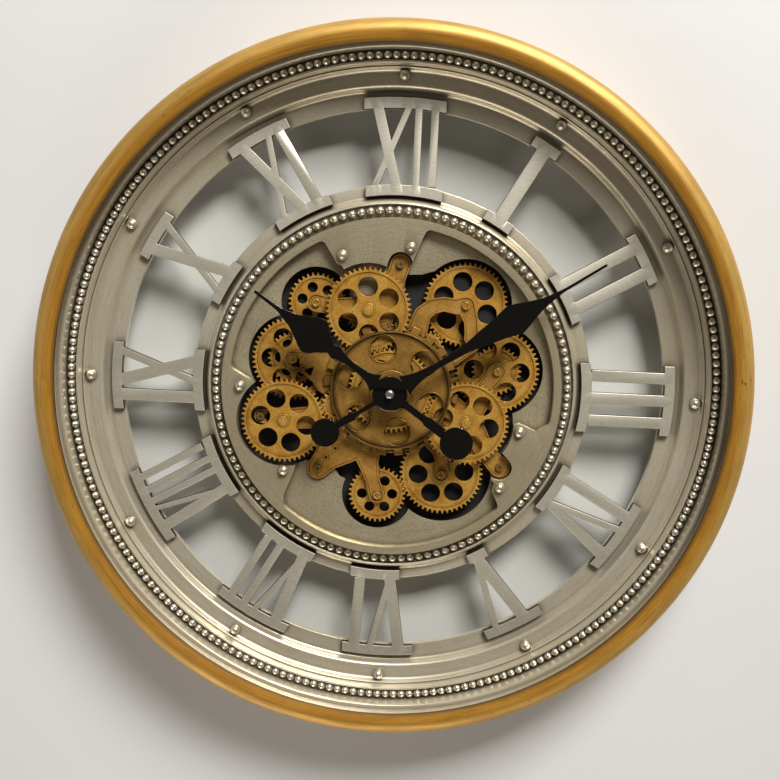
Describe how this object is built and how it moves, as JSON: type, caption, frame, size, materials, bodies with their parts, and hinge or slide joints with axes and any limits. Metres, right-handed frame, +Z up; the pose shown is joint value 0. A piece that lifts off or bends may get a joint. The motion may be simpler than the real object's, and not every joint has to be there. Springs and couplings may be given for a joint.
{
  "type": "skeleton wall clock with moving gears",
  "caption": "Large round wall clock with openwork dial, roman numerals and exposed turning gears behind flat glass.",
  "frame": {"origin": "on the dial axis, in the plane of the wall that the back of the case rests on", "axes": "+Z up through XII, +X to the right of the dial, +Y into the wall, so the dial faces -Y"},
  "size_m": [0.6002, 0.0798, 0.6002],
  "materials": {
    "rim_gold": "antique gold with brush streaks",
    "clear_glass": "clear flat glass",
    "silver_paint": "champagne pewter, brushed",
    "polished_silver": "bright polished",
    "brushed_silver": "light brushed",
    "gear_gold": "antique gold with brown speckle",
    "gloss_black": "high gloss",
    "black_plastic": "matt moulded",
    "white_plastic": "moulded acetal",
    "steel": "zinc plated",
    "motor_steel": "drawn steel can",
    "cell_jacket": "printed jacket",
    "board": "solder mask",
    "back_paint": "satin black"
  },
  "bodies": {
    "case": {"gold_rim": "rim_gold", "front_glass": "clear_glass", "dial_surround": "silver_paint", "inner_ring": "silver_paint", "dial_plate": "silver_paint", "main_bridge": "silver_paint", "outer_bead_ring": "polished_silver", "inner_bead_ring": "polished_silver", "ball_rivets": "polished_silver", "numeral_01": "brushed_silver", "numeral_02": "brushed_silver", "numeral_03": "brushed_silver", "numeral_04": "brushed_silver", "numeral_05": "brushed_silver", "numeral_06": "brushed_silver", "numeral_07": "brushed_silver", "numeral_08": "brushed_silver", "numeral_09": "brushed_silver", "numeral_10": "brushed_silver", "numeral_11": "brushed_silver", "numeral_12": "brushed_silver", "gear_tray": "black_plastic", "castle_ring": "gear_gold", "bush_nuts": "steel", "case_screws": "steel", "hanger_plate": "steel", "gear_motor": "motor_steel", "movement_case": "black_plastic", "movement_lid": "black_plastic", "drive_battery_box": "black_plastic", "aa_cells": "cell_jacket", "circuit_board": "board", "back_ring": "back_paint"},
    "centre_wheel": {"centre_arbor": "gear_gold", "centre_gear": "gear_gold", "centre_disc": "gear_gold"},
    "top_wheel": {"top_gear": "gear_gold", "top_arbor": "gear_gold"},
    "top_left_wheel": {"top_left_gear": "gear_gold"},
    "lower_right_wheel": {"lower_right_gear": "gear_gold", "lower_right_arbor": "gear_gold"},
    "right_wheel": {"right_gear": "gear_gold"},
    "bottom_right_wheel": {"bottom_right_gear": "gear_gold"},
    "bottom_wheel": {"bottom_gear": "gear_gold"},
    "left_idler_wheel": {"left_idler": "gear_gold"},
    "left_wheel": {"left_gear": "gear_gold"},
    "upper_right_idler_wheel": {"upper_right_idler": "gear_gold"},
    "upper_right_wheel": {"upper_right_gear": "gear_gold"},
    "upper_left_idler_wheel": {"upper_left_idler": "gear_gold"},
    "upper_left_wheel": {"upper_left_gear": "gear_gold"},
    "motor_pinion_wheel": {"motor_pinion": "white_plastic"},
    "minute_arbor": {"minute_shaft": "steel", "minute_hand": "gloss_black", "hand_nut": "steel"},
    "hour_pipe": {"hour_wheel": "white_plastic", "hour_hand": "gloss_black"},
    "setting_arbor": {"minute_wheel": "white_plastic", "setting_knob": "white_plastic"},
    "battery_door": {"drive_battery_door": "black_plastic"},
    "switch_slider": {"drive_switch": "black_plastic"}
  },
  "joints": [
    {"name": "centre_wheel_spin", "type": "hinge", "parent": "case", "child": "centre_wheel", "pos_m": [0, -0.03, 0], "axis": [0, -1, 0], "continuous": true},
    {"name": "top_wheel_spin", "type": "hinge", "parent": "case", "child": "top_wheel", "pos_m": [-0.02182, -0.03, 0.06756], "axis": [0, -1, 0], "continuous": true},
    {"name": "top_left_wheel_spin", "type": "hinge", "parent": "case", "child": "top_left_wheel", "pos_m": [-0.06706, -0.03, 0.07184], "axis": [0, -1, 0], "continuous": true},
    {"name": "lower_right_wheel_spin", "type": "hinge", "parent": "case", "child": "lower_right_wheel", "pos_m": [0.06633, -0.03, -0.02533], "axis": [0, -1, 0], "continuous": true},
    {"name": "right_wheel_spin", "type": "hinge", "parent": "case", "child": "right_wheel", "pos_m": [0.0908, -0.03, 0.01955], "axis": [0, -1, 0], "continuous": true},
    {"name": "bottom_right_wheel_spin", "type": "hinge", "parent": "case", "child": "bottom_right_wheel", "pos_m": [0.04743, -0.03, -0.07283], "axis": [0, -1, 0], "continuous": true},
    {"name": "bottom_wheel_spin", "type": "hinge", "parent": "case", "child": "bottom_wheel", "pos_m": [-0.00814, -0.03, -0.09449], "axis": [0, -1, 0], "continuous": true},
    {"name": "left_idler_wheel_spin", "type": "hinge", "parent": "case", "child": "left_idler_wheel", "pos_m": [-0.04576, -0.03, -0.0154], "axis": [0, -1, 0], "continuous": true},
    {"name": "left_wheel_spin", "type": "hinge", "parent": "case", "child": "left_wheel", "pos_m": [-0.09152, -0.03, -0.0308], "axis": [0, -1, 0], "continuous": true},
    {"name": "upper_right_idler_wheel_spin", "type": "hinge", "parent": "case", "child": "upper_right_idler_wheel", "pos_m": [0.03045, -0.03, 0.03747], "axis": [0, -1, 0], "continuous": true},
    {"name": "upper_right_wheel_spin", "type": "hinge", "parent": "case", "child": "upper_right_wheel", "pos_m": [0.0609, -0.03, 0.07494], "axis": [0, -1, 0], "continuous": true},
    {"name": "upper_left_idler_wheel_spin", "type": "hinge", "parent": "case", "child": "upper_left_idler_wheel", "pos_m": [-0.04878, -0.03, 0.01271], "axis": [0, -1, 0], "continuous": true},
    {"name": "upper_left_wheel_spin", "type": "hinge", "parent": "case", "child": "upper_left_wheel", "pos_m": [-0.0852, -0.03, 0.02219], "axis": [0, -1, 0], "continuous": true},
    {"name": "motor_pinion_wheel_spin", "type": "hinge", "parent": "case", "child": "motor_pinion_wheel", "pos_m": [0, -0.03, -0.04544], "axis": [0, -1, 0], "continuous": true},
    {"name": "minute_hand_spin", "type": "hinge", "parent": "case", "child": "minute_arbor", "pos_m": [0, -0.03, 0], "axis": [0, -1, 0], "continuous": true},
    {"name": "hour_hand_spin", "type": "hinge", "parent": "case", "child": "hour_pipe", "pos_m": [0, -0.03, 0], "axis": [0, -1, 0], "continuous": true},
    {"name": "setting_knob_spin", "type": "hinge", "parent": "case", "child": "setting_arbor", "pos_m": [0, -0.03, 0.014], "axis": [0, -1, 0], "continuous": true},
    {"name": "battery_door_slide", "type": "slide", "parent": "case", "child": "battery_door", "axis": [1, 0, 0], "range_m": [0, 0.06]},
    {"name": "switch_slide", "type": "slide", "parent": "case", "child": "switch_slider", "axis": [0, 0, 1], "range_m": [0, 0.003]}
  ],
  "couplings": [
    {"joint": "top_wheel_spin", "follows": "centre_wheel_spin", "ratio": -1},
    {"joint": "top_left_wheel_spin", "follows": "centre_wheel_spin", "ratio": 0.88235},
    {"joint": "lower_right_wheel_spin", "follows": "centre_wheel_spin", "ratio": -1},
    {"joint": "right_wheel_spin", "follows": "centre_wheel_spin", "ratio": 0.44},
    {"joint": "bottom_right_wheel_spin", "follows": "centre_wheel_spin", "ratio": 0.44},
    {"joint": "bottom_wheel_spin", "follows": "centre_wheel_spin", "ratio": -0.64706},
    {"joint": "left_idler_wheel_spin", "follows": "centre_wheel_spin", "ratio": -2.7778},
    {"joint": "left_wheel_spin", "follows": "centre_wheel_spin", "ratio": 1},
    {"joint": "upper_right_idler_wheel_spin", "follows": "centre_wheel_spin", "ratio": -2.7778},
    {"joint": "upper_right_wheel_spin", "follows": "centre_wheel_spin", "ratio": 1},
    {"joint": "upper_left_idler_wheel_spin", "follows": "centre_wheel_spin", "ratio": -2.381},
    {"joint": "upper_left_wheel_spin", "follows": "centre_wheel_spin", "ratio": 1.5625},
    {"joint": "motor_pinion_wheel_spin", "follows": "centre_wheel_spin", "ratio": -3.5714},
    {"joint": "hour_hand_spin", "follows": "minute_hand_spin", "ratio": 0.083333},
    {"joint": "setting_knob_spin", "follows": "minute_hand_spin", "ratio": -0.33333}
  ]
}
